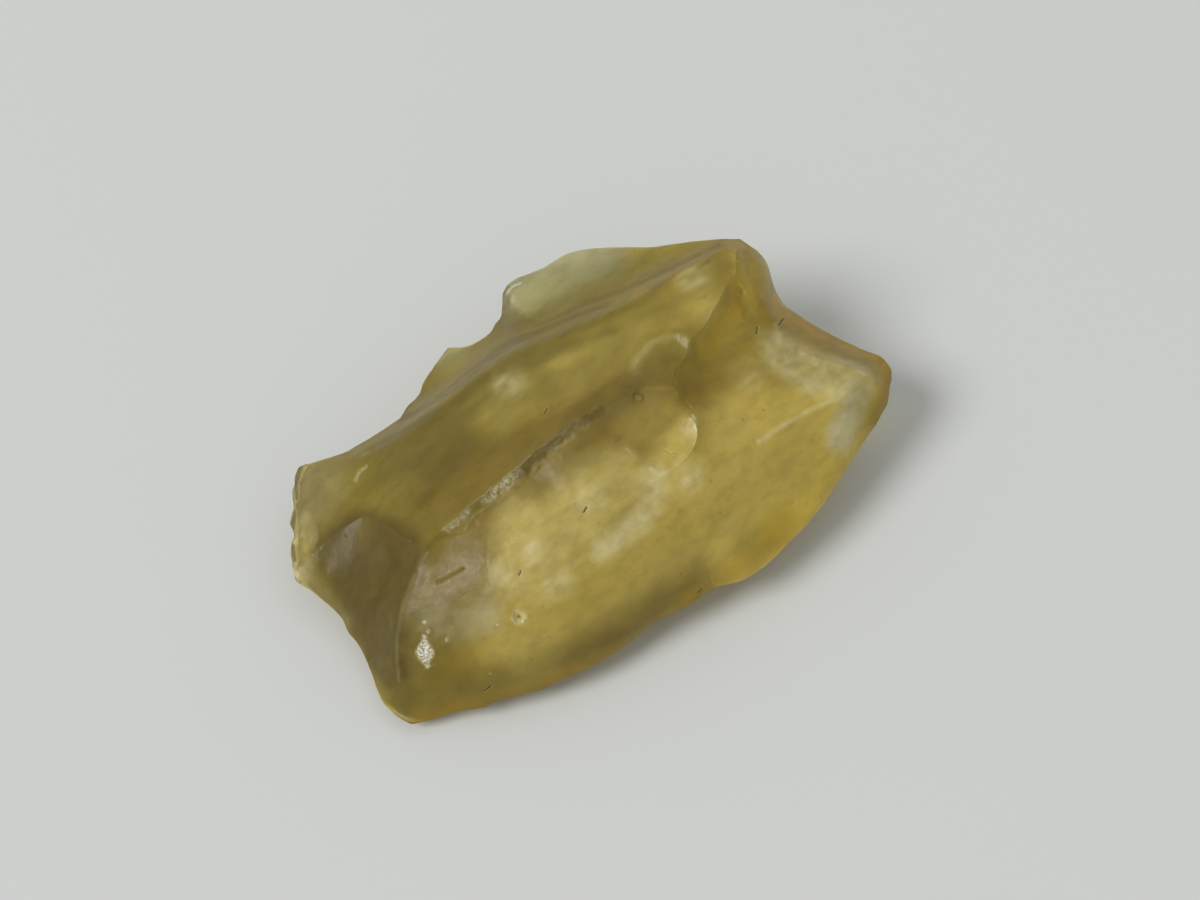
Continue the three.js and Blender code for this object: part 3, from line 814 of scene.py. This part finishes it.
class Glass(Graph):
    """The desert glass: the patterns that run through it, and what they make of its looks."""

    def __init__(self, material):
        super().__init__(material)
        self.clouds = self.noise(size=5.0, detail=5.0)
        self.streaks = self.noise(size=2.2, detail=5.0, stretch=(0.45, 1.5, 1.0))
        self.mottle = self.noise(size=0.7, detail=4.0)
        self.brush = self.noise(size=0.9, detail=5.0, stretch=(0.55, 1.1, 1.0))
        self.pitted = self.pits(PIT_SPACING, PIT_SIZE)
        glitter = self.steps(self.noise(size=0.13, detail=2.0), 0.36, 0.55)
        self.glint = self.math("MULTIPLY", self.amount("frost_and_highlights"), glitter, True)
        waver = self.math("MULTIPLY", self.steps(self.mottle, 0.32, 0.68), CLOUD_WAVER)
        wisps = self.math("ADD", CLOUD_LEAST, waver)
        self.milk = self.math("MULTIPLY", self.amount("milk"), wisps, True)

    def colour(self):
        """A clear ground with coats of colour over it, painted glow, shade and highlights among them, each
        with the share that shows where it is full.
        """
        colour = self.mix(self.steps(self.clouds, 0.35, 0.68), AMBER, PALE_YELLOW)
        coats = [
            (self.steps(self.streaks, 0.42, 0.7), 0.6, STREAK_OLIVE),
            # Painted glow.
            (self.amount("honey"), 0.8, HONEY_GLOW),
            # Olive, with painted shade among it.
            (self.amount("olive"), 0.9, OLIVE_AND_PAINTED_SHADE),
            (self.amount("brown"), 1, ORANGE_BROWN),
            (self.amount("green"), 0.9, PALE_GREEN),
            (self.milk, 0.85, CLOUD_WHITE),
            # The frost and the painted highlights, broken into glints.
            (self.glint, 1, FROST_AND_HIGHLIGHT_WHITE),
            (self.amount("dark"), 1, CRACK_DARK),
            (self.steps(self.brush, 0.42, 0.72), 0.30, BRUSH_SHADE),
            (self.math("SUBTRACT", 1, self.pitted), 0.3, PIT_SHADE),
            (self.steps(self.mottle, 0.62, 0.78), 0.25, FLECK_SHADE),
        ]
        for amount, share, coat in coats:
            colour = self.mix(self.math("MULTIPLY", amount, share), colour, coat)
        return colour

    def clearness(self):
        """How much of the light goes in: all but what clouds, scars, stains, the painted glow and the
        painted highlights hold back.
        """
        held_back = self.total([
            (self.milk, 0.34),
            (self.glint, 0.62),
            (self.amount("dark"), 1),
            (self.amount("honey"), 0.36),
            (self.amount("brown"), 0.20),
            (self.steps(self.streaks, 0.3, 0.8), 0.10),
        ])
        return self.math("SUBTRACT", CLEAREST, held_back, True)

    def roughness(self):
        """A satin surface, rougher in patches and on the olive parts."""
        rougher = self.total([(self.steps(self.mottle, 0.3, 0.75), 0.14), (self.amount("olive"), 0.06)])
        return self.math("ADD", SMOOTHEST, rougher)

    def relief(self):
        """The finest grain and the scatter of tiny pits, as a bump."""
        bump = self.nodes.new("ShaderNodeBump")
        bump.inputs["Strength"].default_value = RELIEF_STRENGTH
        bump.inputs["Distance"].default_value = RELIEF_DEPTH
        grain = self.noise(size=0.16, detail=4.0)
        height = self.total([(grain, 0.25), (self.mottle, 0.6), (self.brush, 0.5), (self.pitted, 0.45)])
        self.put(height, bump.inputs["Height"])
        return bump.outputs["Normal"]

    def body(self):
        """The colour that the glass gains with depth."""
        body = self.nodes.new("ShaderNodeVolumeAbsorption")
        body.inputs["Color"].default_value = DEPTH_COLOUR
        body.inputs["Density"].default_value = DEPTH_DENSITY
        return body.outputs[0]


def desert_glass():
    material = bpy.data.materials.new("desert glass")
    glass = Glass(material)
    skin = glass.nodes["Principled BSDF"]
    glass.put(glass.colour(), skin.inputs["Base Color"])
    glass.put(glass.clearness(), skin.inputs["Transmission Weight"])
    glass.put(glass.roughness(), skin.inputs["Roughness"])
    glass.put(glass.relief(), skin.inputs["Normal"])
    skin.inputs["IOR"].default_value = REFRACTION
    skin.inputs["Specular IOR Level"].default_value = SHEEN
    glass.put(glass.body(), glass.nodes["Material Output"].inputs["Volume"])
    return material


bpy.context.scene.view_settings.view_transform = "Standard"
bpy.context.scene.cycles.max_bounces = MOST_BOUNCES
set_camera()
light_studio()
lay_floor()
add_stone()
